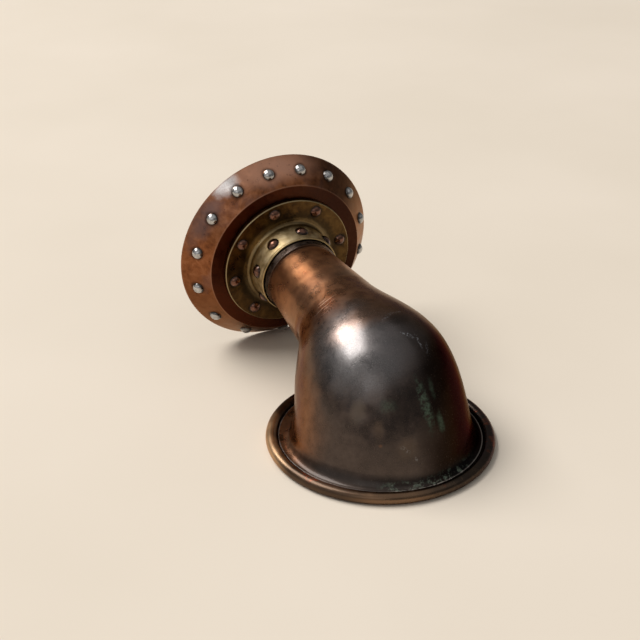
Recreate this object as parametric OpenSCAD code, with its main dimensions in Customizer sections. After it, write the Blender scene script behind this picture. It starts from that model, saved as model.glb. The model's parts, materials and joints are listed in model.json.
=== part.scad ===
// Cowl ventilator lying on its mouth: a bent hood on a neck that turns in a riveted deck base.
// The mouth ring rests flat on z = 0 and the base leans on the low point of its skirt.
// Each base piece is drawn upright on its seat, along the pipe, and then tipped over with along_pipe().

/* [Mouth ring] */
// Radius of the mouth ring's centre line
mouth_r = 72; // [66:0.5:80]
// Radius of the rolled bead round the mouth
bead_r = 3.9; // [3:0.1:4.5]
// Wall of the rolled bead
bead_wall = 0.9; // [0.7:0.1:1.1]
// Height of the brim's underside where it enters the bead
brim_tongue_z = 3.4; // [3:0.1:3.6]
// Gap between the brim's shoulder and the bead
bead_groove = 0.6; // [0.4:0.1:1]

/* [Hood] */
// Thickness of the hood's copper sheet
hood_sheet = 1; // [0.8:0.1:1.2]
// Radius of the hood's wall above the brim
wall_r = 59.4; // [56:0.2:62]
// How far the wall sits back from the mouth's centre
wall_set_back = 2.6; // [0:0.1:5]
// Height at which the wall starts to flare into the brim
wall_foot_z = 14; // [10:0.5:18]
// Inward lean of the back wall in degrees
wall_lean = 12; // [4:0.5:20]
// How long the back wall keeps its direction before it turns over
wall_pull = 105; // [85:1:115]
// How long the crown keeps the neck's direction
crown_pull = 50; // [35:1:60]
// Share by which the hood is narrower than round, halfway up
hood_pinch = 0.09; // [0:0.01:0.14]
// How strongly the sections gather at the throat's crease
throat_gather = 1.4; // [1:0.1:2]

/* [Neck] */
// Rise of the pipe towards the base in degrees
pipe_pitch = 6.5; // [4:0.1:9]
// Outside radius of the neck pipe in its sleeve
pipe_r = 26.8; // [24:0.2:30]
// Wall of the neck pipe
pipe_wall = 1; // [0.8:0.1:1.5]
// How much wider the neck is where the hood begins
neck_swell = 4.7; // [3:0.1:6]
// Length of the neck between the sleeve's top and the hood
neck_len = 51.5; // [47:0.5:57]
// How far the pipe's tail stands out under the retaining ring
tail_out = 1.7; // [0.5:0.1:3]

/* [Deck base] */
// Distance from the base's seat to the point over the mouth's centre
reach = 165.1; // [160:0.5:175]
// Radius of the skirt at its edge
skirt_r = 74.4; // [70:0.2:78]
// Radius of the skirt's fold
fold_r = 58.7; // [56:0.2:62]
// Height of the skirt's flat top over the seat
fold_z = 19.1; // [16:0.1:22]
// Thickness of the skirt's sheet
skirt_sheet = 1.2; // [0.8:0.1:1.6]
// Width of the hoop behind the skirt
hoop_w = 13; // [11:0.5:15]
// Thickness of the hoop behind the skirt
hoop_t = 2; // [1.5:0.1:2.5]
// Thickness of the bedding between the collar and the skirt
gasket_t = 0.6; // [0.4:0.1:1]

/* [Deck collar] */
// Radius of the collar's flange
flange_r = 49.1; // [47:0.1:53]
// Thickness of the collar's flange
flange_t = 3.3; // [2.5:0.1:4]
// Fillet between the flange and the collar's neck
collar_fillet = 2.5; // [1.5:0.1:3]
// How much wider the collar's neck is at its foot than at its lip
collar_cone = 1.6; // [0.8:0.1:2.4]
// Wall of the collar's neck under its lip
collar_wall = 1.3; // [1.2:0.1:2]
// Height of the collar's lip over its flange
collar_h = 20.3; // [19:0.1:23]
// How far the collar's lip is rolled outwards
lip_flare = 0.2; // [0.1:0.05:0.6]

/* [Sleeve and swivel] */
// Wall of the sleeve riveted into the collar
sleeve_wall = 1.2; // [0.9:0.1:1.4]
// How far the sleeve stands out of the collar
sleeve_out = 5.9; // [3:0.1:7]
// How far the sleeve hangs below the skirt's flat top
sleeve_drop = 8.6; // [6:0.1:9]
// Running clearance between the pipe and the sleeve, on the radius
swivel_gap = 0.06; // [0.03:0.01:0.09]
// End play of the swivel
end_play = 0.3; // [0.2:0.05:0.5]
// Thickness of the friction washer
washer_t = 1; // [0.8:0.1:1.4]
// Height of the retaining ring
ring_h = 3.4; // [3:0.1:3.6]
// Radial thickness of the retaining ring
ring_t = 4.4; // [3.5:0.1:5]

/* [Rivets] */
// Number of rivets round the skirt
skirt_rivets_n = 15; // [11:1:16]
// Distance of the skirt's rivets from its edge, up the slope
skirt_rivet_up = 12; // [10:0.5:13]
// Radius of a skirt rivet's head
skirt_head_r = 4.4; // [3.8:0.1:4.8]
// Height of a skirt rivet's head
skirt_head_h = 3; // [2.4:0.1:3.4]
// Radius of a skirt rivet's shank
skirt_shank_r = 1.6; // [1.3:0.1:1.8]
// Number of rivets on the collar's flange, and again on its neck
collar_rivets_n = 8; // [6:1:9]
// Radius of the circle of flange rivets
flange_rivet_circle = 42.2; // [41:0.1:43]
// Radius of a flange rivet's head
flange_head_r = 4.3; // [3.8:0.1:4.6]
// Height of a flange rivet's head
flange_head_h = 2.7; // [2:0.1:3]
// Radius of a collar rivet's head
collar_head_r = 4.7; // [4:0.1:5]
// Height of a collar rivet's head
collar_head_h = 2.5; // [2:0.1:3]
// Radius of a copper rivet's shank
copper_shank_r = 1.5; // [1.2:0.1:1.7]
// Height of the rivets on the collar's neck over its flange
neck_rivet_up = 10.7; // [9.5:0.1:12]
// Number of rivets in the retaining ring
ring_rivets_n = 4; // [3:1:6]
// Radius of the rivets in the retaining ring
ring_rivet_r = 1; // [0.8:0.1:1.2]

/* [Hidden] */
$fn = 72;
// Clearance between pieces that are fastened together
seat_gap = 0.1;
// Clearance round a shank in its hole
hole_gap = 0.05;
// Thickness of the washers under the rivets' tails, and height of the closed tails
burr_t = 1;
tail_h = 1.2;
// Radius of a closed tail and of a washer, as shares of the shank's
tail_spread = 1.6;
burr_spread = 2;
// Height of the brim's shoulder over its tongue
shoulder_h = 0.8;
// First skirt rivet, and how much the hand-set row crowds together on its far side
skirt_rivet_first = 14.5;
skirt_rivet_drift = 7;
skirt_rivet_phase = 25;
// First flange rivet, and how far that hand-set row drifts off its pitch
flange_rivet_first = 12;
flange_rivet_drift = 5;
flange_rivet_phase = 15;
neck_rivet_first = 37;
// Rings and sides of the hood's faces
hood_steps = 16;
flare_steps = 8;
hood_sides = 48;

// The skirt's slope, from its edge to its fold
skirt_run = skirt_r - fold_r;
skirt_slope = atan2(fold_z, skirt_run);
skirt_level_t = skirt_sheet / sin(skirt_slope);
gasket_z = fold_z;
flange_z = gasket_z + gasket_t;
flange_top_z = flange_z + flange_t;
sleeve_r = pipe_r + swivel_gap;
sleeve_out_r = sleeve_r + sleeve_wall;
collar_bore_r = sleeve_out_r + seat_gap;
collar_out_r = collar_bore_r + collar_wall;
collar_slope = atan2(collar_cone, collar_h);
neck_top_r = pipe_r + neck_swell;
lip_roll = (collar_wall + lip_flare) / 2;
lip_z = flange_top_z + collar_h;
neck_rivet_z = flange_top_z + neck_rivet_up;
sleeve_top_z = lip_z + sleeve_out;
sleeve_foot_z = fold_z - sleeve_drop;
washer_top_z = sleeve_foot_z - end_play;
washer_z = washer_top_z - washer_t;
ring_z = washer_z - seat_gap - ring_h;
pipe_tail_z = ring_z - tail_out;
neck_top_z = sleeve_top_z + neck_len;

// The pipe's height over the mouth, which rests the skirt's edge on the same table as the mouth ring
pipe_z = skirt_r * cos(pipe_pitch) - reach * sin(pipe_pitch);
// The box of the whole part is centred on the origin
front_y = -mouth_r - bead_r;
back_y = reach * cos(pipe_pitch) + skirt_r * sin(pipe_pitch);
mouth_y = -(front_y + back_y) / 2;

// Outer radius of the collar's neck at a height over its flange
function collar_r(up) = collar_out_r + collar_cone * (1 - up / collar_h);
function flange_rivet_angle(i) = flange_rivet_first + i * 360 / collar_rivets_n
  + flange_rivet_drift * sin(i * 360 / collar_rivets_n + flange_rivet_phase);
function skirt_rivet_angle(i) = skirt_rivet_first + i * 360 / skirt_rivets_n
  - skirt_rivet_drift * (1 - cos(i * 360 / skirt_rivets_n + skirt_rivet_phase));

// From the upright base to its place on the lying part
module along_pipe() {
  translate([0, mouth_y, pipe_z]) rotate([90 + pipe_pitch, 0, 0]) translate([0, 0, -reach]) children();
}

// A place on the skirt's outer face, with z square to the sheet
module on_skirt(angle) {
  rotate([0, 0, angle])
    translate([skirt_r - skirt_rivet_up * cos(skirt_slope), 0, skirt_rivet_up * sin(skirt_slope)])
      rotate([0, skirt_slope, 0]) children();
}

// A place on the collar's flange
module on_flange(i) {
  rotate([0, 0, flange_rivet_angle(i)])
    translate([flange_rivet_circle, 0, flange_top_z]) children();
}

// A place on the collar's neck, with z pointing outwards
module on_collar_neck(i) {
  rotate([0, 0, neck_rivet_first + i * 360 / collar_rivets_n])
    translate([collar_r(neck_rivet_up), 0, neck_rivet_z]) rotate([0, 90 - collar_slope, 0]) children();
}

module tube(r_in, r_out, h) {
  difference() {
    cylinder(r = r_out, h = h);
    translate([0, 0, -1]) cylinder(r = r_in, h = h + 2);
  }
}

// A domed head on z = 0, cut from a ball
module dome(r, h) {
  ball_r = (r * r + h * h) / (2 * h);
  intersection() {
    translate([0, 0, h - ball_r]) sphere(r = ball_r);
    cylinder(r = r + 1, h = h + 1);
  }
}

// A rivet seated on z = 0: its head, its shank through the grip, and a closed tail below
module rivet(head_r, head_h, shank_r, grip, tail_r) {
  dome(head_r, head_h);
  translate([0, 0, -grip]) cylinder(r = shank_r, h = grip + head_h / 2);
  translate([0, 0, -grip - tail_h]) cylinder(r = tail_r, h = tail_h);
}

// Base
skirt_grip = skirt_sheet + seat_gap + hoop_t + seat_gap + burr_t;
flange_grip = flange_t + gasket_t + skirt_sheet + burr_t;

module skirt_outline() {
  foot_in = skirt_r - skirt_level_t;
  fold_in = foot_in - (fold_z - skirt_sheet) / tan(skirt_slope);
  polygon([
    [skirt_r, 0], [fold_r, fold_z], [collar_bore_r, fold_z],
    [collar_bore_r, fold_z - skirt_sheet], [fold_in, fold_z - skirt_sheet], [foot_in, 0]
  ]);
}

module base_skirt() {
  color("#7d452c") along_pipe() difference() {
    rotate_extrude() skirt_outline();
    for (i = [0:skirt_rivets_n - 1])
      on_skirt(skirt_rivet_angle(i)) translate([0, 0, -skirt_sheet * 2])
        cylinder(r = skirt_shank_r + hole_gap, h = skirt_sheet * 4, $fn = 24);
    for (i = [0:collar_rivets_n - 1])
      on_flange(i) translate([0, 0, -flange_grip - 1])
        cylinder(r = copper_shank_r + hole_gap, h = flange_grip + 2, $fn = 24);
  }
}

// A tapered hoop that lies behind the skirt and takes its rivets
module skirt_hoop() {
  color("#3c3936") along_pipe() difference() {
    rotate_extrude()
      translate([skirt_r - skirt_rivet_up * cos(skirt_slope), skirt_rivet_up * sin(skirt_slope)])
        rotate(180 - skirt_slope) translate([-hoop_w / 2, skirt_sheet + seat_gap])
          square([hoop_w, hoop_t]);
    for (i = [0:skirt_rivets_n - 1])
      on_skirt(skirt_rivet_angle(i)) translate([0, 0, -skirt_grip - 1])
        cylinder(r = skirt_shank_r + hole_gap, h = skirt_grip + 2, $fn = 24);
  }
}

module skirt_rivets() {
  color("#c9c6bf") along_pipe() for (i = [0:skirt_rivets_n - 1])
    on_skirt(skirt_rivet_angle(i))
      rivet(skirt_head_r, skirt_head_h, skirt_shank_r, skirt_grip, skirt_shank_r * tail_spread, $fn = 32);
}

module skirt_burrs() {
  color("#a87352") along_pipe() for (i = [0:skirt_rivets_n - 1])
    on_skirt(skirt_rivet_angle(i)) translate([0, 0, -skirt_grip])
      tube(skirt_shank_r + hole_gap, skirt_shank_r * burr_spread, burr_t, $fn = 32);
}

// Deck collar
module collar_outline() {
  edge = 0.5;
  arc_steps = 8;
  foot_r = collar_r(collar_fillet) + collar_fillet;
  lip_c = collar_bore_r + lip_roll;
  polygon(concat(
    [[collar_bore_r, flange_z], [flange_r, flange_z], [flange_r, flange_top_z - edge]],
    [[flange_r - edge, flange_top_z]],
    [for (k = [0:arc_steps]) let(a = 90 * k / arc_steps)
      [foot_r - collar_fillet * sin(a), flange_top_z + collar_fillet * (1 - cos(a))]],
    [[collar_out_r, lip_z - lip_roll * 3]],
    // The lip's roll
    [for (k = [0:arc_steps]) let(a = 180 * k / arc_steps)
      [lip_c + lip_roll * cos(a), lip_z - lip_roll + lip_roll * sin(a)]],
    [[collar_bore_r, lip_z - lip_roll * 2]]
  ));
}

module deck_collar() {
  color("#8d7743") along_pipe() difference() {
    rotate_extrude() collar_outline();
    for (i = [0:collar_rivets_n - 1]) {
      on_flange(i) translate([0, 0, -flange_grip])
        cylinder(r = copper_shank_r + hole_gap, h = flange_grip + 1, $fn = 24);
      on_collar_neck(i) translate([0, 0, -collar_wall - collar_cone * 2])
        cylinder(r = copper_shank_r + hole_gap, h = collar_wall * 2 + collar_cone * 2, $fn = 24);
    }
  }
}

module bedding_gasket() {
  color("#2b201a") along_pipe() difference() {
    translate([0, 0, gasket_z]) tube(collar_bore_r, flange_r - gasket_t, gasket_t);
    for (i = [0:collar_rivets_n - 1])
      on_flange(i) translate([0, 0, -flange_grip])
        cylinder(r = copper_shank_r + hole_gap, h = flange_grip, $fn = 24);
  }
}

module flange_rivets() {
  color("#6e4430") along_pipe() for (i = [0:collar_rivets_n - 1])
    on_flange(i)
      rivet(flange_head_r, flange_head_h, copper_shank_r, flange_grip, copper_shank_r * tail_spread, $fn = 32);
}

module flange_burrs() {
  color("#a87352") along_pipe() for (i = [0:collar_rivets_n - 1])
    on_flange(i) translate([0, 0, -flange_grip])
      tube(copper_shank_r + hole_gap, copper_shank_r * burr_spread, burr_t, $fn = 32);
}

// Rivets through the collar's neck and the sleeve, flush inside so that the pipe can turn
module collar_rivets() {
  flush_end = collar_r(neck_rivet_up) - sleeve_r - copper_shank_r * sin(collar_slope) - seat_gap;
  color("#74493a") along_pipe() for (i = [0:collar_rivets_n - 1])
    on_collar_neck(i) {
      dome(collar_head_r, collar_head_h, $fn = 32);
      translate([0, 0, -flush_end]) cylinder(r = copper_shank_r, h = flush_end + collar_head_h / 2, $fn = 24);
    }
}

// Sleeve: a tinned bush in the collar, with its end standing out round the pipe
module neck_sleeve() {
  color("#6d6a66") along_pipe() difference() {
    translate([0, 0, sleeve_foot_z]) tube(sleeve_r, sleeve_out_r, sleeve_top_z - sleeve_foot_z);
    for (i = [0:collar_rivets_n - 1])
      on_collar_neck(i) translate([0, 0, -collar_wall - collar_cone - sleeve_wall * 2])
        cylinder(r = copper_shank_r + hole_gap, h = collar_wall + collar_cone + sleeve_wall * 2, $fn = 24);
  }
}

// Cowl: everything that turns in the base
module neck_outline() {
  bore_r = pipe_r - pipe_wall;
  bore_top_r = neck_top_r - pipe_wall;
  polygon([
    [bore_r, pipe_tail_z], [pipe_r, pipe_tail_z], [pipe_r, sleeve_top_z + end_play * 2],
    [neck_top_r, neck_top_z], [bore_top_r, neck_top_z], [bore_r, sleeve_top_z + end_play * 2]
  ]);
}

module on_ring(i) {
  rotate([0, 0, (i + 0.5) * 360 / ring_rivets_n])
    translate([pipe_r + seat_gap / 2 + ring_t, 0, ring_z + ring_h / 2]) rotate([0, 90, 0]) children();
}

module ring_rivet_holes() {
  grip = pipe_wall + ring_t + 1;
  for (i = [0:ring_rivets_n - 1])
    on_ring(i) translate([0, 0, -grip]) cylinder(r = ring_rivet_r + hole_gap, h = grip + 1, $fn = 24);
}

module neck_pipe() {
  color("#8a5733") along_pipe() difference() {
    rotate_extrude() neck_outline();
    ring_rivet_holes();
  }
}

module friction_washer() {
  color("#4a3324") along_pipe() translate([0, 0, washer_z])
    tube(pipe_r + seat_gap / 2, pipe_r + ring_t, washer_t);
}

module retaining_ring() {
  color("#8d7743") along_pipe() difference() {
    translate([0, 0, ring_z]) tube(pipe_r + seat_gap / 2, pipe_r + seat_gap / 2 + ring_t, ring_h);
    ring_rivet_holes();
  }
}

// Pins with a small head outside, flush with the pipe's bore
module ring_rivets() {
  color("#74493a") along_pipe() for (i = [0:ring_rivets_n - 1])
    on_ring(i) {
      dome(ring_rivet_r * 1.5, ring_rivet_r * 0.8, $fn = 24);
      translate([0, 0, -ring_t - pipe_wall]) cylinder(r = ring_rivet_r, h = ring_t + pipe_wall + 0.4, $fn = 24);
    }
}

// Hood: round sections between a back line and a throat line, in the plane x = 0
function lerp(a, b, t) = a + (b - a) * t;
function bezier(a, b, c, d, t) =
  a * pow(1 - t, 3) + b * 3 * t * pow(1 - t, 2) + c * 3 * t * t * (1 - t) + d * t * t * t;

// Directions along the pipe towards the hood, and square to it upwards
pipe_dir = [-cos(pipe_pitch), -sin(pipe_pitch)];
pipe_up = [-sin(pipe_pitch), cos(pipe_pitch)];
neck_end = [mouth_y, pipe_z] - pipe_dir * (reach - neck_top_z);
neck_taper = atan2(neck_top_r - pipe_r, neck_top_z - sleeve_top_z);
crown_dir = pipe_dir * cos(neck_taper) + pipe_up * sin(neck_taper);
wall_y = mouth_y - wall_set_back;
wall_back = [wall_y - wall_r, wall_foot_z];
wall_throat = [wall_y + wall_r, wall_foot_z];
neck_back = neck_end + pipe_up * neck_top_r;
neck_throat = neck_end - pipe_up * neck_top_r;

function back_line(t) = bezier(
  wall_back, wall_back + wall_pull * [sin(wall_lean), cos(wall_lean)],
  neck_back + crown_pull * crown_dir, neck_back, t);
function throat_line(t) = lerp(wall_throat, neck_throat, 1 - pow(1 - t, throat_gather));

// A section is its back point, its throat point, its half width, and how far its inner face
// shrinks and drops
function hood_section(t) = let(b = back_line(t), f = throat_line(t))
  [b, f, norm(b - f) / 2 * (1 - hood_pinch * sin(180 * t)), hood_sheet, 0];

// The flare carries the wall on, and turns it out into a flat brim along a parabola
brim_r = mouth_r - bead_r - bead_groove;
brim_top = brim_tongue_z + hood_sheet + shoulder_h;
function parabola(a, b, c, t) = a * pow(1 - t, 2) + b * 2 * t * (1 - t) + c * t * t;
function carried_on(a, b) = a - (b - a) * (a[1] - brim_top) / (b[1] - a[1]);
near = hood_section(0.02);
side_lean = (wall_r - near[2]) / ((near[0][1] + near[1][1]) / 2 - wall_foot_z);
function flare_section(t) = [
  parabola(wall_back, carried_on(wall_back, near[0]), [mouth_y - brim_r, brim_top], t),
  parabola(wall_throat, carried_on(wall_throat, near[1]), [mouth_y + brim_r, brim_top], t),
  parabola(wall_r, wall_r + side_lean * (wall_foot_z - brim_top), brim_r, t),
  hood_sheet * cos(90 * t), hood_sheet * sin(90 * t)];
// The brim's edge is a shoulder with a thinner tongue below it, which the bead takes in
function edge_section(r, z, shrink) = [[mouth_y - r, z], [mouth_y + r, z], r, shrink, hood_sheet];

bead_wire_r = bead_r - bead_wall - seat_gap;
tongue_r = mouth_r - bead_wire_r - seat_gap;
tongue_top = brim_tongue_z + hood_sheet;
sections = concat(
  [for (k = [0:hood_steps]) hood_section(1 - k / hood_steps)],
  [for (k = [1:flare_steps - 1]) flare_section(k / flare_steps)],
  [edge_section(brim_r, brim_top, hood_sheet), edge_section(brim_r, tongue_top, hood_sheet),
   edge_section(tongue_r, tongue_top, 0)]
);

// One ring of points round a section, on its outer face or its inner one
function section_ring(s, inner) = let(
    axis = (s[0] - s[1]) / norm(s[0] - s[1]),
    centre = (s[0] + s[1]) / 2,
    long = norm(s[0] - s[1]) / 2 - (inner ? s[3] : 0),
    wide = s[2] - (inner ? s[3] : 0),
    drop = inner ? s[4] : 0)
  [for (k = [0:hood_sides - 1]) let(a = 360 * k / hood_sides, p = centre + axis * long * cos(a))
    [wide * sin(a), p[0], p[1] - drop]];

module hood() {
  rings = concat(
    [for (s = sections) section_ring(s, false)],
    [for (k = [len(sections) - 1:-1:0]) section_ring(sections[k], true)]);
  n = len(rings);
  m = hood_sides;
  points = [for (r = rings) each r];
  faces = [for (i = [0:n - 1]) for (j = [0:m - 1]) each let(
      a = i * m + j, b = i * m + (j + 1) % m,
      c = ((i + 1) % n) * m + (j + 1) % m, d = ((i + 1) % n) * m + j)
    [[a, c, b], [a, d, c]]];
  color("#4a3a32") polyhedron(points, faces);
}

// Mouth ring: a bead of tube, split where it takes the brim's tongue, round a core wire
module mouth_bead() {
  slot = seat_gap + hood_sheet + seat_gap;
  color("#54422f") translate([0, mouth_y, 0]) rotate_extrude($fn = 96) difference() {
    translate([mouth_r, bead_r]) circle(r = bead_r, $fn = 48);
    translate([mouth_r, bead_r]) circle(r = bead_r - bead_wall, $fn = 48);
    translate([mouth_r - bead_r * 2, brim_tongue_z - seat_gap]) square([bead_r * 2, slot]);
  }
}

module bead_wire() {
  color("#5a5752") translate([0, mouth_y, 0]) rotate_extrude($fn = 96)
    translate([mouth_r, bead_r]) circle(r = bead_wire_r, $fn = 32);
}

base_skirt();
skirt_hoop();
skirt_rivets();
skirt_burrs();
bedding_gasket();
deck_collar();
flange_rivets();
flange_burrs();
neck_sleeve();
collar_rivets();
neck_pipe();
friction_washer();
retaining_ring();
ring_rivets();
hood();
mouth_bead();
bead_wire();
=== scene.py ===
import json
import math

import bpy
import numpy as np
from mathutils import Matrix, Vector, noise


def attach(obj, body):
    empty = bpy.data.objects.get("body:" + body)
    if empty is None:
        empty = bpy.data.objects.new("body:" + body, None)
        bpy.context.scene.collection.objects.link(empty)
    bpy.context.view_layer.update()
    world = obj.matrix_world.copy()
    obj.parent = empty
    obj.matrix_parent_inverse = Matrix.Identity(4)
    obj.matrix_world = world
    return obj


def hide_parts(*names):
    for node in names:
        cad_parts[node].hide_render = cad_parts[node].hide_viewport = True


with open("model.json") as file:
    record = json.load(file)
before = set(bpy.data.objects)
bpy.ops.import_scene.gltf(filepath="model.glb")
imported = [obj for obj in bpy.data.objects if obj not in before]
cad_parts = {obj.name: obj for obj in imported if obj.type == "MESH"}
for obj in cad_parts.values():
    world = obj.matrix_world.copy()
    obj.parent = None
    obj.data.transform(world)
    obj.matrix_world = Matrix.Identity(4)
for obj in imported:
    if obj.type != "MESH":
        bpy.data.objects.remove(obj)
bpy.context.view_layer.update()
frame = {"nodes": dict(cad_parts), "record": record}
nodes = frame["nodes"]

# Lengths are in metres, as in the frame, unless a comment says millimetres
MM = 0.001

# The part's main sizes, as in its source
PITCH = math.radians(6.5)
PIPE_R = 26.8 * MM
REACH = 165.1 * MM
SKIRT_R = 74.4 * MM
MOUTH_R = 72 * MM
BEAD_R = 3.9 * MM
MOUTH_Y = -(-(MOUTH_R + BEAD_R) + REACH * math.cos(PITCH) + SKIRT_R * math.sin(PITCH)) / 2
PIPE_Z = SKIRT_R * math.cos(PITCH) - REACH * math.sin(PITCH)

# The base: radii round the pipe, and heights over the seat
SEAT = Vector((0, MOUTH_Y + REACH * math.cos(PITCH), PIPE_Z + REACH * math.sin(PITCH)))
FOLD_R = 58.7 * MM
FLANGE_R = 49.1 * MM
FLANGE_TOP = 23.0 * MM
COLLAR_BORE = 28.16 * MM
LIP_TOP = 43.3 * MM
SLEEVE_TOP = 49.2 * MM
NECK_TOP = 100.7 * MM
NECK_TOP_R = 31.5 * MM

# The hood, where pairs are (y, z)
PIPE_DIR = np.array([-math.cos(PITCH), -math.sin(PITCH)])
PIPE_UP = np.array([-math.sin(PITCH), math.cos(PITCH)])
NECK_END = np.array([MOUTH_Y, PIPE_Z]) - PIPE_DIR * (REACH - NECK_TOP)
HOOD_SHEET = 1.0 * MM
WALL_R = 59.4 * MM
WALL_Y = MOUTH_Y - 2.6 * MM
WALL_FOOT = 14 * MM
WALL_LEAN = math.radians(12)
WALL_PULL = 105 * MM
CROWN_PULL = 50 * MM
PINCH = 0.09
THROAT_GATHER = 1.4
BRIM_R = 67.5 * MM
BRIM_TOP = 5.2 * MM
BRIM_ROUND = 0.15 * MM
TONGUE_TOP = 4.4 * MM
TONGUE_R = 69.0 * MM


def ring_of(count, radius, height, angle_of):
    """Places round the pipe, from a radius and a height over the seat in millimetres."""
    return [Vector((radius * math.cos(a), radius * math.sin(a), height)) * MM
            for a in (math.radians(angle_of(i)) for i in range(count))]


def sine(degrees):
    return math.sin(math.radians(degrees))


# The rivets as set in the source: an even pitch in degrees, made uneven by a wave.
# The skirt's are in from its edge, up the slope of its cone.
RIVET_UP = 12
CONE_IN, CONE_RISE = 0.6350, 0.7725
SKIRT_RIVETS = ring_of(15, SKIRT_R / MM - RIVET_UP * CONE_IN, RIVET_UP * CONE_RISE,
                       lambda i: 14.5 + 24 * i - 7 * (1 - sine(90 - 24 * i - 25)))
FLANGE_RIVETS = ring_of(8, 42.2, 23, lambda i: 12 + 45 * i + 5 * sine(45 * i + 15))
COLLAR_RIVETS = ring_of(8, 30.02, 33.7, lambda i: 37 + 45 * i)


def srgb(r, g, b):
    """A colour given as 0 to 255 on screen, as the linear values that shaders take."""
    def linear(c):
        c /= 255
        return c / 12.92 if c <= 0.04045 else ((c + 0.055) / 1.055) ** 2.4
    return (linear(r), linear(g), linear(b), 1)


# The colour sockets of a Mix node, which go by number because three kinds share their names
MIX_FACTOR, MIX_A, MIX_B, MIX_RESULT = 0, 6, 7, 2


class Graph:
    """A material's nodes, written as short expressions.

    Colours are (r, g, b) of 0 to 255. A mask is 1 where something shows and 0 elsewhere.
    """

    def __init__(self, name, metallic=1.0):
        self.material = bpy.data.materials.new(name)
        self.material.use_nodes = True
        self.tree = self.material.node_tree
        self.shader = self.tree.nodes["Principled BSDF"]
        self.shader.inputs["Metallic"].default_value = metallic
        self.coord = self.node("ShaderNodeTexCoord").outputs["Object"]
        self.colour = None

    def node(self, kind, **props):
        new = self.tree.nodes.new(kind)
        for key, value in props.items():
            setattr(new, key, value)
        return new

    def put(self, socket, value):
        """Gives a socket another node's output, a colour or a number."""
        if isinstance(value, bpy.types.NodeSocket):
            self.tree.links.new(value, socket)
        elif isinstance(value, tuple):
            socket.default_value = srgb(*value)
        else:
            socket.default_value = value

    def set(self, name, value):
        self.put(self.shader.inputs[name], value)

    # Values

    def math(self, operation, a, b=0.0):
        n = self.node("ShaderNodeMath", operation=operation)
        self.put(n.inputs[0], a)
        self.put(n.inputs[1], b)
        return n.outputs[0]

    def plus(self, a, b):
        return self.math("ADD", a, b)

    def times(self, *values):
        out = values[0]
        for value in values[1:]:
            out = self.math("MULTIPLY", out, value)
        return out

    def either(self, a, b):
        return self.math("MAXIMUM", a, b)

    def hypot(self, a, b):
        return self.math("SQRT", self.plus(self.math("POWER", a, 2.0), self.math("POWER", b, 2.0)))

    def step(self, value, a, b, low=0.0, high=1.0):
        """A smooth change from low where the value is a to high where it is b."""
        n = self.node("ShaderNodeMapRange", interpolation_type="SMOOTHSTEP")
        self.put(n.inputs["Value"], value)
        n.inputs["From Min"].default_value = a
        n.inputs["From Max"].default_value = b
        n.inputs["To Min"].default_value = low
        n.inputs["To Max"].default_value = high
        return n.outputs["Result"]

    def span(self, length, a, b, origin=0.0, low=0.0, high=1.0):
        """The same for a length, with a and b in millimetres from an origin."""
        return self.step(length, origin + a * MM, origin + b * MM, low, high)

    # Textures

    def noise(self, scale, detail=4, rough=0.55, distortion=0.0, vector=None):
        """Noise whose grain is about 1/scale metres."""
        n = self.node("ShaderNodeTexNoise")
        self.put(n.inputs["Vector"], vector or self.coord)
        n.inputs["Scale"].default_value = scale
        n.inputs["Detail"].default_value = detail
        n.inputs["Roughness"].default_value = rough
        n.inputs["Distortion"].default_value = distortion
        return n.outputs["Fac"]

    def swing(self, fac, amount):
        """A noise moved to lie on both sides of 0, amount wide."""
        return self.times(self.math("SUBTRACT", fac, 0.5), amount)

    def mottled(self, fac, low, high, top=0.7):
        """A value that goes with a noise, from low to high."""
        return self.step(fac, 0.3, top, low, high)

    def specks(self, scale, detail, a, b):
        """A mask of ragged specks: noise, cut where it passes from a to b."""
        return self.step(self.noise(scale, detail, 0.7), a, b)

    def ramp(self, fac, *stops):
        """A colour for each value, from stops of (value, colour)."""
        n = self.node("ShaderNodeValToRGB")
        self.put(n.inputs["Fac"], fac)
        elements = n.color_ramp.elements
        while len(elements) < len(stops):
            elements.new(0.5)
        for element, (at, colour) in zip(elements, stops):
            element.position = at
            element.color = srgb(*colour)
        return n.outputs["Color"]

    def mix(self, fac, a, b):
        n = self.node("ShaderNodeMix", data_type="RGBA")
        self.put(n.inputs[MIX_FACTOR], fac)
        self.put(n.inputs[MIX_A], a)
        self.put(n.inputs[MIX_B], b)
        return n.outputs[MIX_RESULT]

    # Places

    def mapped(self, location=(0, 0, 0), rotation=(0, 0, 0), scale=(1, 1, 1), vector=None):
        n = self.node("ShaderNodeMapping", vector_type="TEXTURE")
        self.put(n.inputs["Vector"], vector or self.coord)
        n.inputs["Location"].default_value = location
        n.inputs["Rotation"].default_value = rotation
        n.inputs["Scale"].default_value = scale
        return n.outputs["Vector"]

    def xyz(self, vector):
        n = self.node("ShaderNodeSeparateXYZ")
        self.put(n.inputs[0], vector)
        return n.outputs

    def along_pipe(self):
        """The base's own place: x to the right, y up, and z along the pipe from the seat."""
        return self.mapped(SEAT, (math.pi / 2 + PITCH, 0, 0))

    def from_mouth_axis(self, x, y):
        return self.hypot(x, self.math("SUBTRACT", y, MOUTH_Y))

    def spot(self, centre, radii, soft, ragged, grain, rotation=(0, 0, 0), vector=None):
        """A mask inside an ellipsoid in millimetres, with a soft and ragged edge."""
        place = self.mapped(Vector(centre) * MM, rotation, Vector(radii) * MM, vector)
        n = self.node("ShaderNodeVectorMath", operation="LENGTH")
        self.put(n.inputs[0], place)
        waver = self.swing(self.noise(grain, 4, 0.6), ragged)
        return self.step(self.plus(n.outputs["Value"], waver), 1 + soft, 1 - soft)

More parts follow.
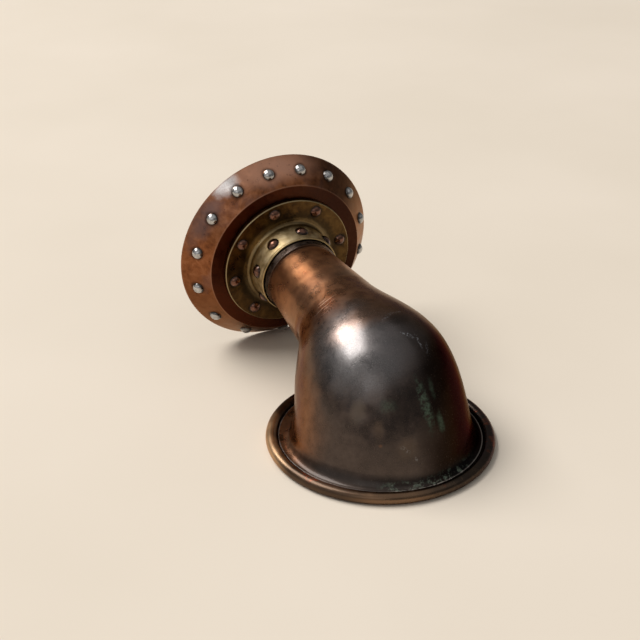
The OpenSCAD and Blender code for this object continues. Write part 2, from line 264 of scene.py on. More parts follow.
    def streak(self, start, end, width, depth, soft, ragged, grain, vector=None):
        """A mask along a stroke, with its ends, half width and half depth in millimetres."""
        start, end = Vector(start), Vector(end)
        turn = (end - start).to_track_quat("X", "Z").to_euler()
        radii = ((end - start).length / 2, width, depth)
        return self.spot((start + end) / 2, radii, soft, ragged, grain, turn, vector)

    def nearest(self, vector, places):
        """The distance to the nearest of some places."""
        out = None
        for place in places:
            n = self.node("ShaderNodeVectorMath", operation="DISTANCE")
            self.put(n.inputs[0], vector)
            n.inputs[1].default_value = place
            far = n.outputs["Value"]
            out = far if out is None else self.math("MINIMUM", out, far)
        return out

    # The surface

    def paint(self, colour, mask, amount=1.0):
        """Lays a colour over the one so far, by an amount where the mask is 1."""
        self.colour = self.mix(self.times(mask, amount), self.colour, colour)

    def finish(self, roughness, *bumps, specular=(255, 255, 255), coat=0.0, coat_roughness=0.3):
        """Dresses the shader, with bumps of (height, distance in millimetres)."""
        self.set("Base Color", self.colour)
        self.set("Roughness", roughness)
        self.set("Specular Tint", specular)
        self.set("Coat Weight", coat)
        self.set("Coat Roughness", coat_roughness)
        normal = None
        for height, distance in bumps:
            n = self.node("ShaderNodeBump")
            n.inputs["Distance"].default_value = distance * MM
            n.inputs["Strength"].default_value = 1.0
            self.put(n.inputs["Height"], height)
            if normal is not None:
                self.put(n.inputs["Normal"], normal)
            normal = n.outputs["Normal"]
        if normal is not None:
            self.set("Normal", normal)
        return self.material


# Where the neck and the hood meet, both have this colour
WARM_COPPER = ((0.3, (104, 69, 45)), (0.5, (130, 88, 60)), (0.7, (150, 106, 75)))

# The tables of marks are in millimetres. Lighter patches on the hood, three of them over its dents
# as painted light that the dents catch, and darker clouds:
# place, half sizes, colour, amount
HOOD_PATCHES = (
    ((-36, -83, 50), (5, 4, 8), (120, 106, 92), 0.45),
    ((-27.5, -94.5, 41), (3, 3, 8), (104, 86, 72), 0.5),
    ((-28, -98, 32), (1.0, 1.0, 1.0), (120, 86, 66), 0.6),
    ((-13, -105, 29), (6, 4, 7), (92, 76, 62), 0.4),
    ((-12, -98, 58), (9, 5, 14), (48, 38, 33), 0.5),
    ((-5, -43.5, 94.5), (19, 10, 9), (112, 78, 54), 0.6),
    ((8.2, -55.8, 92.4), (8, 5, 4), (36, 27, 21), 0.6),
)
# Bright scratches by the hood's bend: start, end, half width, amount
SCRATCHES = (
    ((-27, -5.6, 83.6), (-14.5, -7.0, 91.4), 0.30, 0.95),
    ((-29.5, -9.5, 81.2), (-16.5, -10.8, 90.4), 0.34, 0.9),
    ((-24.5, -3.0, 84.6), (-18.5, -4.0, 88.9), 0.26, 0.7),
    ((-25, -13, 85), (-20.5, -13.5, 88.2), 0.28, 0.6),
    ((-27, -16.5, 84.2), (-23, -17, 87), 0.24, 0.5),
    ((-40, -38, 78), (-30, -36, 85), 0.25, 0.25),
)
# Pale smears on the crown and low on the front: start, end, half width, amount, raggedness
SMEARS = (
    ((3.2, -67.0, 88.8), (9.2, -71.0, 86.0), 1.5, 0.8, 2.2),
    ((11.0, -68.5, 86.8), (11.9, -77.2, 80.7), 0.9, 0.7, 2.2),
    ((16.7, -73.6, 81.6), (14.4, -79.6, 77.6), 0.7, 0.6, 2.2),
    ((-6.0, -55.4, 93.2), (4.0, -51.0, 93.8), 0.8, 0.3, 2.4),
    ((1.0, -50.5, 94.3), (13.0, -48.5, 93.0), 0.7, 0.3, 2.4),
    ((-16.7, -103.4, 31.0), (-12.0, -105.6, 26.4), 0.9, 0.2, 2.0),
    ((-8.6, -107.2, 24), (-7.0, -108.2, 21), 0.4, 0.2, 2.0),
)


def neck_copper():
    """Warm brown copper, brighter in streaks along the pipe, with dirt by the sleeve."""
    g = Graph("neck_copper")
    pipe = g.along_pipe()
    z = g.xyz(pipe)["Z"]
    rubs = g.noise(160, 4, 0.6, 0.2, g.mapped(scale=(1, 1, 5), vector=pipe))
    mid = g.noise(110, 4, 0.55)
    fine = g.noise(1100, 4, 0.65)
    g.colour = g.ramp(g.mix(0.5, mid, rubs),
                      (0.35, (144, 96, 62)), (0.5, (164, 110, 72)), (0.66, (182, 126, 84)))
    # Towards the hood, the neck takes the hood's colour and more of its pits
    hoodward = (74, 98.5)
    g.paint(g.ramp(g.noise(110, 5, 0.62), *WARM_COPPER), g.span(z, *hoodward))
    # Darker just above the sleeve: dirt.
    grime_and_shade = g.span(g.plus(z, g.times(mid, 4 * MM)), 5.3, 2.3, SLEEVE_TOP)
    g.paint((52, 42, 42), grime_and_shade, 0.55)
    grain = g.noise(500, 3, 0.7, 0, g.mapped(rotation=(0.3, 0.5, 0.9), scale=(1, 9, 1)))
    g.paint((204, 160, 120), g.step(grain, 0.66, 0.70), 0.3)
    g.paint((28, 21, 18), g.specks(520, 5, 0.34, 0.28), g.span(z, *hoodward, low=0.2, high=0.6))
    return g.finish(g.mottled(mid, 0.26, 0.34), (mid, 0.14), (rubs, 0.04), (fine, 0.02),
                    specular=(246, 226, 206), coat=0.25)


def paint_verdigris(g, x, y, height):
    """A run down the hood's back with spots beside it, and crusts along the foot of the wall."""
    green = g.ramp(g.noise(700, 4, 0.7), (0.35, (34, 54, 46)), (0.6, (84, 108, 92)))
    run = g.streak((1.2, -91.6, 66.0), (4.6, -102.9, 40.5), 3.0, 3, 0.6, 1.6, 300)
    verdigris = 0.0
    for mask, amount in (
            (g.times(run, g.specks(340, 4, 0.36, 0.54)), 0.7),
            (g.streak((11.5, -99.5, 46), (13.4, -103.3, 35), 2.2, 3, 0.6, 1.6, 300), 0.45),
            (g.streak((9.0, -89, 66), (10.5, -95, 54), 1.8, 3, 0.6, 1.6, 300), 0.35),
            (g.spot((-20.5, -92.5, 55.5), (5, 4, 3.4), 0.7, 1.6, 300), 0.35)):
        g.paint(green, mask, amount)
        verdigris = g.either(verdigris, g.times(mask, amount))
    foot = g.times(g.span(height, 11, 7), g.span(y, -94, -108), g.span(x, -36, -22),
                   g.span(x, 40, 12, low=0.35))
    crust = g.times(foot, g.specks(260, 5, 0.48, 0.62))
    pale_green = g.ramp(g.noise(900, 4, 0.7), (0.35, (50, 74, 66)), (0.62, (124, 134, 118)))
    g.paint(pale_green, crust, 0.75)
    return crust, verdigris


def paint_scratches(g):
    """Scratches by the hood's bend, broken smears, and a small dark hole beside the scratches."""
    for start, end, width, amount in SCRATCHES:
        g.paint((214, 184, 162), g.streak(start, end, width, 1.6, 0.5, 0.8, 520), amount)
    broken = g.specks(800, 4, 0.48, 0.60)
    for start, end, width, amount, ragged in SMEARS:
        smear = g.streak(start, end, width, 1.6, 0.5, ragged, 520)
        g.paint((186, 186, 190), g.times(smear, broken), amount)
    hole = g.spot((-31.4, -19.3, 80.9), (0.9, 0.9, 0.9), 0.3, 0.5, 600)
    g.paint((12, 8, 7), hole, 0.9)


def paint_brim_edge(g, x, y, height):
    """The brim's edge, with a painted highlight along it and painted shadow in the groove by the
    bead.
    """
    around = g.from_mouth_axis(x, y)
    # Painted highlight along the brim's edge.
    edge = g.times(g.span(around, -0.9, -0.4, BRIM_R), g.span(height, -0.6, -0.2, BRIM_TOP),
                   g.span(height, 1.0, 0.4, BRIM_TOP))
    g.paint((150, 142, 136), edge, 0.8)
    # Painted shadow in the groove between the brim and the bead.
    groove_shadow = g.times(g.span(around, -0.6, -0.3, BRIM_R), g.span(height, -0.2, -0.5, BRIM_TOP))
    g.paint((14, 11, 9), groove_shadow, 0.9)


def hood_copper():
    """Brown by the neck, brown at the left as a painted warm reflection, brown-grey on the crown
    round a painted highlight, near black at the right as painted shade.
    """
    g = Graph("hood_copper")
    z = g.xyz(g.along_pipe())["Z"]
    x, y, height = g.xyz(g.coord)
    big = g.noise(30, 2, 0.5, 0.3)
    mid = g.noise(110, 5, 0.62)
    fine = g.noise(1300, 4, 0.7)
    wander = g.swing(big, 30 * MM)
    dark = g.ramp(mid, (0.3, (60, 50, 45)), (0.5, (72, 60, 54)), (0.7, (84, 71, 64)))
    neckward = g.span(g.plus(z, wander), 185, 108)
    # Warmer at the left: a painted warm reflection, laid on in the neck's warm copper colours.
    left = g.times(g.span(g.plus(x, g.times(wander, 0.5)), -44, -54), g.span(y, -78, -46))
    warm = g.either(neckward, g.times(left, 0.85))
    g.colour = g.mix(warm, dark, g.ramp(mid, *WARM_COPPER))

    # Painted highlight: lighter grey where the main highlight falls and rosier at its top, with a
    # painted grey reflection of the overhead light beside it.
    grey = g.spot((-26, -56, 84), (27, 36, 26), 0.5, 0.5, 90)
    g.paint(g.ramp(fine, (0.35, (98, 95, 94)), (0.6, (124, 122, 122))), grey, 0.8)
    rosy = g.spot((-28, -43, 85.5), (11, 9, 10), 0.7, 0.9, 160)
    g.paint(g.ramp(fine, (0.35, (128, 108, 98)), (0.65, (186, 164, 154))), rosy, 0.8)
    reflected_haze = g.spot((-4, -70, 88), (26, 26, 18), 0.6, 0.4, 60)
    g.paint((88, 82, 81), reflected_haze, 0.55)
    # Painted shade: near black on the right side, and blue-black low on the right, away from the
    # light.
    right = g.times(g.span(g.plus(x, wander), -16, 20), g.span(height, 98, 70), g.span(z, 108, 150))
    g.paint((26, 17, 12), right, 0.92)
    low = g.times(g.span(height, 14, 7), g.span(x, 0, 30))
    g.paint((20, 24, 28), low, 0.8)
    dull = g.times(g.span(height, 15, 8.5), g.span(x, 10, -30), g.span(y, -40, -66))
    g.paint((46, 38, 33), dull, 0.75)
    for place, radii, colour, amount in HOOD_PATCHES:
        g.paint(colour, g.spot(place, radii, 0.6, 0.7, 240), amount)

    crust, verdigris = paint_verdigris(g, x, y, height)
    paint_scratches(g)
    glints = g.step(fine, 0.60, 0.68)
    g.paint((128, 112, 102), glints, 0.3)
    pits = g.specks(520, 5, 0.34, 0.28)
    g.paint((26, 20, 18), pits, 0.6)
    paint_brim_edge(g, x, y, height)

    crusted = g.either(crust, verdigris)
    g.set("Metallic", g.step(crusted, 0.1, 0.9, 1.0, 0.25))
    rough = g.plus(g.mottled(mid, 0.24, 0.34), g.times(g.either(glints, pits), 0.16))
    rough = g.plus(g.plus(rough, g.times(dull, 0.14)), g.times(crusted, 0.35))
    return g.finish(rough, (big, 0.4), (mid, 0.10), (g.noise(420, 4, 0.6), 0.03), (fine, 0.012),
                    (crust, 0.2), specular=(190, 160, 128), coat=g.step(right, 0.0, 1.0, 0.4, 0.04),
                    coat_roughness=0.2)


def skirt_copper():
    """Red-brown copper, purple-grey where handled, near black on the flat top, with a lighter top,
    a pale highlight at the upper left, a warm reflection low down, a light line on the fold and
    painted shade at the right, and dark rings round the rivets that are partly stains and partly
    painted shade.
    """
    g = Graph("skirt_copper")
    pipe = g.along_pipe()
    x, y, _ = g.xyz(pipe)
    r = g.hypot(x, y)
    big = g.noise(40, 3, 0.5, 0.5)
    mid = g.noise(150, 5, 0.62, 0.3)
    fine = g.noise(1000, 4, 0.65)
    g.colour = g.ramp(mid, (0.3, (98, 56, 32)), (0.5, (132, 80, 48)), (0.72, (160, 106, 72)))
    g.paint((112, 84, 78), g.step(big, 0.5, 0.66), 0.45)
    # Painted light: the top of the skirt lighter.
    lit_top = g.spot((-6, 66, 5), (34, 13, 9), 0.6, 0.6, 90, vector=pipe)
    g.paint((206, 152, 124), lit_top, 0.75)
    # A near-white patch at the upper left: a painted highlight, partly worn metal.
    wear_and_painted_light = g.streak((-35.5, 64.6, 1.0), (-47.5, 54.5, 3.0), 6.2, 6, 0.7, 1.2, 160, pipe)
    g.paint(g.ramp(fine, (0.35, (232, 220, 216)), (0.65, (255, 250, 246))), wear_and_painted_light)
    bruise = g.streak((-50.0, 49.0, 4), (-67, 20, 4), 6, 7, 0.8, 1.4, 120, pipe)
    g.paint((120, 98, 94), bruise, 0.6)
    # Painted warm reflection on the lower side, as of a warm floor below.
    warm_reflection_below = g.span(y, 12, -30)
    g.paint((96, 54, 26), warm_reflection_below, 0.6)
    # Painted shade on the upper right side.
    shaded_far_side = g.times(g.span(x, 12, 40), g.span(y, 5, 40))
    g.paint((44, 24, 16), shaded_far_side, 0.7)
    # The flat top is near black, and darker towards the right as painted shade.
    flat_top = g.span(r, 0.5, -0.7, FOLD_R)
    g.paint(g.mix(g.span(x, -30, 30), (72, 30, 12), (44, 18, 8)), flat_top, 0.9)
    # Painted highlight along the fold.
    fold = g.times(g.span(r, -0.2, 0.1, FOLD_R), g.span(r, 0.7, 0.3, FOLD_R))
    g.paint((164, 122, 98), fold, 0.35)
    rim = g.span(r, -0.9, -0.1, SKIRT_R)
    g.paint((170, 122, 92), rim, 0.4)
    g.paint((44, 26, 22), g.specks(420, 4, 0.36, 0.29), 0.7)
    # Dark rings round the rivets: partly stains, partly painted contact shade.
    from_rivet = g.plus(g.nearest(pipe, SKIRT_RIVETS), g.times(mid, 3 * MM))
    g.paint((38, 22, 16), g.span(from_rivet, 8.2, 5.2), 0.75)
    return g.finish(g.mottled(mid, 0.27, 0.42, 0.75), (big, 0.6), (mid, 0.12), (fine, 0.02),
                    specular=(246, 226, 206), coat=0.1)


def old_brass():
    """Olive-brown on the flange and pale gold on its neck, with dark rings round its rivets and by
    the collar that are partly dirt and partly painted shade, and painted highlights on the collar's
    upper left, the flange's edge and the lip.
    """
    g = Graph("old_brass")
    pipe = g.along_pipe()
    x, y, z = g.xyz(pipe)
    r = g.hypot(x, y)
    big = g.noise(50, 3, 0.5, 0.5)
    mid = g.noise(170, 5, 0.6, 0.3)
    fine = g.noise(1000, 4, 0.65)
    wavering_r = g.plus(r, g.swing(mid, 4 * MM))
    on_flange = g.span(z, 1.6, 0.8, FLANGE_TOP)
    olive = g.ramp(mid, (0.3, (58, 39, 17)), (0.5, (84, 60, 28)), (0.75, (112, 84, 44)))
    gold = g.ramp(mid, (0.3, (158, 134, 92)), (0.5, (198, 174, 130)), (0.75, (222, 202, 162)))
    on_neck = g.either(g.span(z, 0.6, 3.2, FLANGE_TOP), g.span(wavering_r, 36.2, 34.4))
    g.colour = g.mix(on_neck, olive, gold)
    # The fillet darkened: partly dirt, partly painted shade at the collar's foot.
    fillet = g.times(g.span(z, 5.5, 2.0, FLANGE_TOP), g.span(wavering_r, 36.8, 35.2))
    g.paint((80, 62, 34), fillet, 0.85)
    # A dark band round the collar's foot: partly dirt, partly painted shade.
    grime_and_shade = g.times(g.span(wavering_r, 34.4, 36.0), g.span(wavering_r, 42.5, 37.5), on_flange)
    g.paint((40, 33, 19), grime_and_shade, 0.6)
    # Dark rings round the flange's rivets: partly dirt, partly painted contact shade.
    from_rivet = g.plus(g.nearest(pipe, FLANGE_RIVETS), g.times(mid, 3 * MM))
    g.paint((34, 26, 15), g.times(g.span(from_rivet, 8.0, 5.0), on_flange), 0.8)
    from_rivet = g.plus(g.nearest(pipe, COLLAR_RIVETS), g.times(mid, 2 * MM))
    stain = g.times(g.span(from_rivet, 6.4, 5.0), g.span(z, 2.8, 4.0, FLANGE_TOP))
    g.paint((70, 52, 30), stain, 0.75)
    # Painted highlight on the collar's upper left.
    collar_highlight = g.spot((-24, 24, 27.5), (12, 12, 5), 0.7, 0.5, 200, vector=pipe)
    g.paint((196, 170, 126), g.times(collar_highlight, g.span(wavering_r, 38.5, 35.5)), 0.6)
    # Painted highlights along the flange's edge and along the lip.
    edge = g.times(g.span(r, -0.8, -0.4, FLANGE_R), g.span(z, -1.4, -0.8, FLANGE_TOP))
    g.paint((186, 168, 128), edge, 0.5)
    g.paint((150, 124, 80), g.span(z, -0.9, -0.5, LIP_TOP), 0.6)
    # Painted shadow inside the collar, under its lip.
    inside = g.times(g.span(r, 0.94, 0.54, COLLAR_BORE), g.span(z, -3.3, -2.3, LIP_TOP))
    g.paint((24, 17, 12), inside, 0.9)
    rough = g.plus(g.mottled(mid, 0.27, 0.38, 0.75), g.span(z, 3, 7, FLANGE_TOP, high=0.1))
    return g.finish(rough, (big, 0.4), (mid, 0.12), (fine, 0.02),
                    specular=(246, 234, 212), coat=0.15)


def tinned_sleeve():
    """Brown-grey tin with lighter chips, with painted shadow where it enters the collar and a
    painted highlight along its top edge.
    """
    g = Graph("tinned_sleeve")
    z = g.xyz(g.along_pipe())["Z"]
    mid = g.noise(220, 5, 0.6, 0.2)
    g.colour = g.ramp(mid, (0.3, (62, 50, 42)), (0.7, (104, 90, 82)))
    # Painted shadow under the collar's lip, and a painted highlight along the sleeve's top edge.
    g.paint((20, 15, 12), g.span(z, 1.3, 0.1, LIP_TOP), 0.85)
    g.paint((150, 140, 130), g.span(z, -0.4, -0.1, SLEEVE_TOP), 0.6)
    g.paint((190, 184, 178), g.specks(380, 4, 0.64, 0.70), 0.6)
    return g.finish(g.mottled(mid, 0.26, 0.42, 0.75), (mid, 0.1), (g.noise(1000, 3, 0.6), 0.02))


def bead_brass():
    """Brown-black brass, lighter at the left as a painted warm reflection, lighter at the front,
    and near black at the right as painted shade.
    """
    g = Graph("bead_brass")
    x, y, height = g.xyz(g.coord)
    mid = g.noise(140, 4, 0.55)
    fine = g.noise(1200, 4, 0.65)
    wandering_x = g.plus(x, g.swing(g.noise(30, 2, 0.5), 40 * MM))
    g.colour = g.ramp(mid, (0.3, (58, 43, 31)), (0.5, (72, 55, 40)), (0.7, (88, 69, 50)))
    # Lighter and rougher towards the left: partly wear, partly a painted warm reflection.
    wear_and_painted_light = g.span(wandering_x, -20, -60)
    g.paint((80, 60, 43), wear_and_painted_light, 0.5)
    # Painted warm reflection at the far left.
    bright = g.times(g.span(wandering_x, -52, -68), g.span(y, -66, -40))
    g.paint((216, 176, 134), bright, 0.9)
    dull = g.times(g.span(x, -34, -52), g.span(y, -34, -56))
    g.paint((58, 37, 24), dull, 0.2)
    front = g.times(g.span(x, 4, -20), g.span(y, -100, -114))
    g.paint((124, 94, 68), front, 0.75)
    # Painted shade: near black at the right.
    g.paint((28, 19, 13), g.span(wandering_x, 0, 45), 0.85)
    rust = g.times(g.step(g.noise(90, 3, 0.6), 0.56, 0.66), g.span(height, 5, 6.8))
    g.paint((130, 62, 34), rust, 0.5)
    g.paint((24, 18, 14), g.specks(420, 4, 0.34, 0.28), 0.5)
    # Painted shadow in the groove between the bead and the brim.
    groove = g.times(g.span(g.from_mouth_axis(x, y), 69.4, 68.6), g.span(height, 6.6, 5.8))
    g.paint((14, 11, 9), groove, 0.9)
    rough = g.plus(g.mottled(mid, 0.20, 0.30), g.times(wear_and_painted_light, 0.12))
    return g.finish(rough, (mid, 0.06), (fine, 0.012),
                    specular=(196, 172, 150), coat=0.4, coat_roughness=0.28)


def rivet_metal(name, low, high, grime_and_shade, places, rough, coat=0.0):
    """A metal mottled between two colours, darker round each rivet's foot: partly dirt, partly
    painted shade.
    """
    g = Graph(name)
    mid = g.noise(420, 4, 0.6)
    g.colour = g.ramp(mid, (0.3, low), (0.7, high))
    from_rivet = g.plus(g.nearest(g.along_pipe(), places), g.swing(mid, 0.8 * MM))
    # Dark round the foot of each head: partly dirt, partly painted shade.
    g.paint(grime_and_shade, g.span(from_rivet, 3.6, 4.2), 0.85)
    return g.finish(g.mottled(mid, *rough), (mid, 0.04), (g.noise(1500, 3, 0.6), 0.008),
                    coat=coat, coat_roughness=0.15)


def plain_metal(name, low, high, rough, metallic=1.0):
    """A surface mottled between two colours, with the roughness in a range."""
    g = Graph(name, metallic)
    mid = g.noise(220, 5, 0.6, 0.2)
    g.colour = g.ramp(mid, (0.3, low), (0.7, high))
    return g.finish(g.mottled(mid, *rough, 0.75), (mid, 0.1), (g.noise(1100, 3, 0.6), 0.02))


def floor_pale():
    g = Graph("floor_pale", metallic=0.0)
    g.colour = g.ramp(g.noise(3, 3, 0.5), (0.3, (219, 207, 190)), (0.7, (225, 213, 197)))
    return g.finish(0.85)


def smooth(mesh, sharp_degrees):
    mesh.polygons.foreach_set("use_smooth", [True] * len(mesh.polygons))
    mesh.set_sharp_from_angle(angle=math.radians(sharp_degrees))


MATERIALS = {
    "skirt_copper": skirt_copper(),
    "old_brass": old_brass(),
    "neck_copper": neck_copper(),
    "hood_copper": hood_copper(),
    "bead_brass": bead_brass(),
    "tinned_sleeve": tinned_sleeve(),
    "tinned_rivet": rivet_metal("tinned_rivet", (150, 148, 146), (206, 205, 204), (50, 42, 38),
                                SKIRT_RIVETS, (0.18, 0.28)),
    "rivet_copper": rivet_metal("rivet_copper", (82, 50, 36), (126, 84, 64), (30, 20, 14),
                                FLANGE_RIVETS + COLLAR_RIVETS, (0.16, 0.26), 0.5),
    "bright_copper": plain_metal("bright_copper", (140, 80, 54), (196, 128, 96), (0.25, 0.4)),
    "black_iron": plain_metal("black_iron", (34, 31, 29), (66, 58, 52), (0.5, 0.7), 0.7),
    "tarred_leather": plain_metal("tarred_leather", (28, 20, 16), (54, 40, 30), (0.6, 0.8), 0.0),
}
for part in frame["record"]["subparts"]:
    node = nodes[part["node"]]
    node.data.materials.clear()
    node.data.materials.append(MATERIALS[part["material_slot"]])
    smooth(node.data, sharp_degrees=30)


# The hood's shell, drawn through the solid's sections but finer and with dents.
# The back line and the throat line run from the wall's foot, at t = 0, to the neck, at t = 1.
TAPER = math.atan2(NECK_TOP_R - PIPE_R, NECK_TOP - SLEEVE_TOP)
CROWN_DIR = PIPE_DIR * math.cos(TAPER) + PIPE_UP * math.sin(TAPER)
WALL_BACK = np.array([WALL_Y - WALL_R, WALL_FOOT])
WALL_THROAT = np.array([WALL_Y + WALL_R, WALL_FOOT])
NECK_BACK = NECK_END + PIPE_UP * NECK_TOP_R
NECK_THROAT = NECK_END - PIPE_UP * NECK_TOP_R

HOOD_MIDDLE = np.array([0, WALL_Y, 40 * MM])
JUST_OVER_FOOT = 0.02
SIDES = 208
WALL_STEPS = 120
FLARE_STEPS = 32
# Counted in sections: the fade of the dents at the neck, the fade towards the brim, and its edge,
# which stays as it is
NECK_FADE = 12
BRIM_FADE = 20
BRIM_KEPT = 9
# Dents, in millimetres: place, radius, depth
DENTS = (
    ((-30.5, -93.3, 40.5), 9, 0.35),
    ((-33.4, -86.8, 49.7), 8, 0.3),
    ((12.7, -72.2, 84.1), 9, 0.25),
    ((-13.4, -105.2, 28.3), 10, 0.3),
    ((-19.8, -6.7, 88.3), 6, 0.2),
    ((35.0, -60.0, 60.0), 12, 0.35),
)
# Waviness of beaten sheet: depth in millimetres, waves per metre
WAVES = ((0.22, 42), (0.08, 130))


def back_line(t):
    c1 = WALL_BACK + WALL_PULL * np.array([math.sin(WALL_LEAN), math.cos(WALL_LEAN)])
    c2 = NECK_BACK + CROWN_PULL * CROWN_DIR
    return (WALL_BACK * (1 - t) ** 3 + c1 * 3 * t * (1 - t) ** 2
            + c2 * 3 * t * t * (1 - t) + NECK_BACK * t ** 3)


def throat_line(t):
    return WALL_THROAT + (NECK_THROAT - WALL_THROAT) * (1 - (1 - t) ** THROAT_GATHER)


def wall_section(t):
    """Back point, throat point, half width, and how far the inner face shrinks and drops."""
    back, throat = back_line(t), throat_line(t)
    half_width = np.linalg.norm(back - throat) / 2 * (1 - PINCH * math.sin(math.pi * t))
    return back, throat, half_width, HOOD_SHEET, 0


def brim_section(radius, z, shrink, drop):
    return np.array([MOUTH_Y - radius, z]), np.array([MOUTH_Y + radius, z]), radius, shrink, drop


def parabola(a, b, c, t):
    return a * (1 - t) ** 2 + b * 2 * t * (1 - t) + c * t * t


def carried_on(a, b):
    """Where the line from b through a comes down to the brim's height."""
    return a - (b - a) * (a[1] - BRIM_TOP) / (b[1] - a[1])


def hood_sections():
    """Sections from the neck to the tongue. The flare bends the wall's slope into the brim."""
    out = [wall_section(1 - k / WALL_STEPS) for k in range(WALL_STEPS + 1)]
    # The flare starts with the slopes from just over the wall's foot down to it
    back, throat, half_width, _, _ = wall_section(JUST_OVER_FOOT)
    side_lean = (WALL_R - half_width) / ((back[1] + throat[1]) / 2 - WALL_FOOT)
    edge = BRIM_R - BRIM_ROUND
    back_edge = np.array([MOUTH_Y - edge, BRIM_TOP])
    throat_edge = np.array([MOUTH_Y + edge, BRIM_TOP])
    for k in range(1, FLARE_STEPS + 1):
        t = k / FLARE_STEPS
        out.append((
            parabola(WALL_BACK, carried_on(WALL_BACK, back), back_edge, t),
            parabola(WALL_THROAT, carried_on(WALL_THROAT, throat), throat_edge, t),
            parabola(WALL_R, WALL_R + side_lean * (WALL_FOOT - BRIM_TOP), edge, t),
            HOOD_SHEET * math.cos(math.pi / 2 * t), HOOD_SHEET * math.sin(math.pi / 2 * t)))
    # The brim's rounded edge, its shoulder, and the tongue that enters the bead
    for radius, z in ((BRIM_R - 0.04 * MM, BRIM_TOP - 0.04 * MM), (BRIM_R, BRIM_TOP - BRIM_ROUND),
                      (BRIM_R, TONGUE_TOP + 0.01 * MM)):
        out.append(brim_section(radius, z, HOOD_SHEET, z - BRIM_TOP + HOOD_SHEET))
    out.append(brim_section(TONGUE_R, TONGUE_TOP, 0, HOOD_SHEET))
    return out


def ring(section, inside):
    """The points of a section's ellipse, on the sheet's outer or inner face."""
    back, throat, wide, shrink, drop = section
    if not inside:
        shrink = drop = 0
    axis = (back - throat) / np.linalg.norm(back - throat)
    long = np.linalg.norm(back - throat) / 2 - shrink
    wide = wide - shrink
    a = np.arange(SIDES) * 2 * math.pi / SIDES
    middle = (back + throat) / 2
    return np.stack([wide * np.sin(a), middle[0] + axis[0] * long * np.cos(a),
                     middle[1] + axis[1] * long * np.cos(a) - drop], 1)


def inward_normals(points):
    """The normals at a grid of points (section, side), on the side where the hood's middle is."""
    around = np.roll(points, -1, 1) - np.roll(points, 1, 1)
    normals = np.cross(around, np.gradient(points, axis=0))
    normals /= np.linalg.norm(normals, axis=2, keepdims=True) + 1e-12
    to_middle = HOOD_MIDDLE - points
    halfway = WALL_STEPS // 2
    return normals * np.sign((normals[halfway] * to_middle[halfway]).sum())


def beaten_depth(point):
    """How far the sheet is pushed in at a point, in millimetres."""
    depth = sum(deep * (0.5 + 0.5 * noise.noise(point * scale)) for deep, scale in WAVES)
    for place, radius, deep in DENTS:
        d = (point - Vector(place) * MM).length / (radius * MM)
        if d < 1:
            depth += deep * (1 - d * d) ** 2
    return depth


def beaten(points):
    """The points pushed inwards, fading out at the neck and towards the brim's edge."""
    normals = inward_normals(points)
    out = points.copy()
    for i, row in enumerate(points):
        brimward = max(0.0, (len(points) - BRIM_KEPT - i) / BRIM_FADE)
        keep = min(1.0, brimward) * min(1.0, i / NECK_FADE)
        for j in range(SIDES):
            out[i, j] += normals[i, j] * beaten_depth(Vector(row[j])) * MM * keep
    return out


def placed(name, data):
    """A new object in the scene."""
    obj = bpy.data.objects.new(name, data)
    bpy.context.scene.collection.objects.link(obj)
    return obj


def mesh_from_rings(name, rings):
    """A closed mesh through rings of points, with the last ring joined to the first."""
    n, m = len(rings), len(rings[0])
    faces = []
    for i in range(n):
        for j in range(m):
            k = (i + 1) % n
            faces.append((i * m + j, k * m + j, k * m + (j + 1) % m, i * m + (j + 1) % m))
    mesh = bpy.data.meshes.new(name)
    mesh.from_pydata(np.concatenate(rings).tolist(), [], faces)
    mesh.validate()
    smooth(mesh, sharp_degrees=35)
    return placed(name, mesh)


sections = hood_sections()
outer_face = beaten(np.array([ring(section, False) for section in sections]))
inner_face = np.array([ring(section, True) for section in sections])
hood = mesh_from_rings("hood_shell", list(outer_face) + list(inner_face[::-1]))
hood.data.materials.append(MATERIALS["hood_copper"])
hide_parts("hood")
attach(hood, "cowl")


# The floor and the lamps
FLOOR_HALF = 40
corners = [(x * FLOOR_HALF, y * FLOOR_HALF, 0) for x, y in ((-1, -1), (1, -1), (1, 1), (-1, 1))]
floor_mesh = bpy.data.meshes.new("floor")
floor_mesh.from_pydata(corners, [], [(0, 1, 2, 3)])
floor_mesh.materials.append(floor_pale())
floor = placed("floor", floor_mesh)


def axes_matrix(x, y, z, at):
    """The matrix of an object at a place, from the directions of its own x, y and z."""
    return Matrix((
        (x.x, y.x, z.x, at.x), (x.y, y.y, z.y, at.y), (x.z, y.z, z.z, at.z), (0, 0, 0, 1)))


LAMP_DISTANCE = 9.0
LAMP_AIM = Vector((0, 0, 60 * MM))
UPRIGHT = (0, 0, 1)
# Name, direction it shines from, size, power, colour, and the direction of its second side
LAMPS = (
    ("key", (-0.42, 0.38, 0.80), (4.35, 7.8), 882, (1.0, 0.985, 0.965), (-0.37, -0.66, 0.16)),
    ("overhead", (0.1, -0.3, 1), (12.0, 12.0), 126, (0.98, 0.99, 1.0), UPRIGHT),
    ("left", (-0.85, -0.15, 0.45), (9.0, 7.2), 72, (1.0, 0.99, 0.98), UPRIGHT),
    ("front", (-0.57, -0.66, 0.48), (4.5, 4.5), 45, (1.0, 0.99, 0.98), UPRIGHT),
)


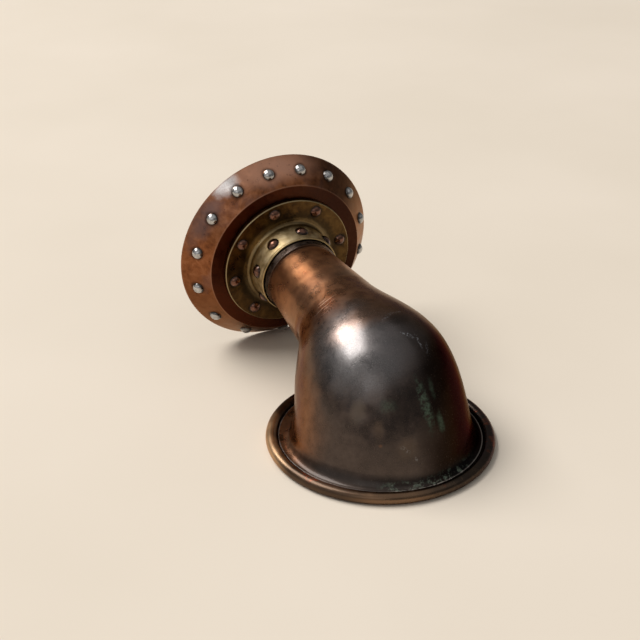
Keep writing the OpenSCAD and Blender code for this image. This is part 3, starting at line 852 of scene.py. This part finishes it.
def lamp(name, direction, size, power, colour, second_side):
    """A soft rectangular lamp that looks at the part."""
    light = bpy.data.lights.new(name, "AREA")
    light.shape = "RECTANGLE"
    light.size, light.size_y = size
    light.energy = power
    light.color = colour
    z = Vector(direction).normalized()
    y = Vector(second_side)
    y = (y - z * y.dot(z)).normalized()
    placed(name, light).matrix_world = axes_matrix(y.cross(z), y, z, LAMP_AIM + z * LAMP_DISTANCE)


for row in LAMPS:
    lamp(*row)

world = bpy.data.worlds.new("studio")
world.use_nodes = True
background = world.node_tree.nodes["Background"]
background.inputs["Color"].default_value = (0.93, 0.92, 0.91, 1)
background.inputs["Strength"].default_value = 0.22
bpy.context.scene.world = world
bpy.context.scene.view_settings.view_transform = "Standard"

# The camera as solved from the photograph: the focal length and the mouth's centre in pixels of
# the 640 x 640 picture, and the direction, distance and roll from which it looks at that centre
PICTURE = 640
SENSOR = 36
FOCAL, CX, CY = 1252.777, 391.527, 438.348
ELEV, TURN, DIST, ROLL = 0.576625, 0.520553, 0.8372525, -0.001768


def solved_camera():
    """The camera's matrix. It looks at the mouth's centre, then turns to put it at CX and CY."""
    upright = Vector(UPRIGHT)
    right_px, down_px = CX - PICTURE / 2, CY - PICTURE / 2
    back = Vector((-math.cos(ELEV) * math.sin(TURN), -math.cos(ELEV) * math.cos(TURN),
                   math.sin(ELEV)))
    forward = -back
    right = forward.cross(upright).normalized()
    yaw = Matrix.Rotation(math.atan2(right_px, FOCAL), 3, upright)
    forward, right = yaw @ forward, yaw @ right
    tip = Matrix.Rotation(math.atan2(down_px, math.hypot(FOCAL, right_px)), 3, right)
    forward = tip @ forward
    right = Matrix.Rotation(ROLL, 3, forward) @ right
    at = Vector((0, MOUTH_Y, 0)) + back * DIST
    return axes_matrix(right, right.cross(forward), -forward, at)


camera_data = bpy.data.cameras.new("camera")
camera_data.sensor_width = SENSOR
camera_data.lens = FOCAL * SENSOR / PICTURE
camera = placed("camera", camera_data)
camera.matrix_world = solved_camera()
bpy.context.scene.camera = camera
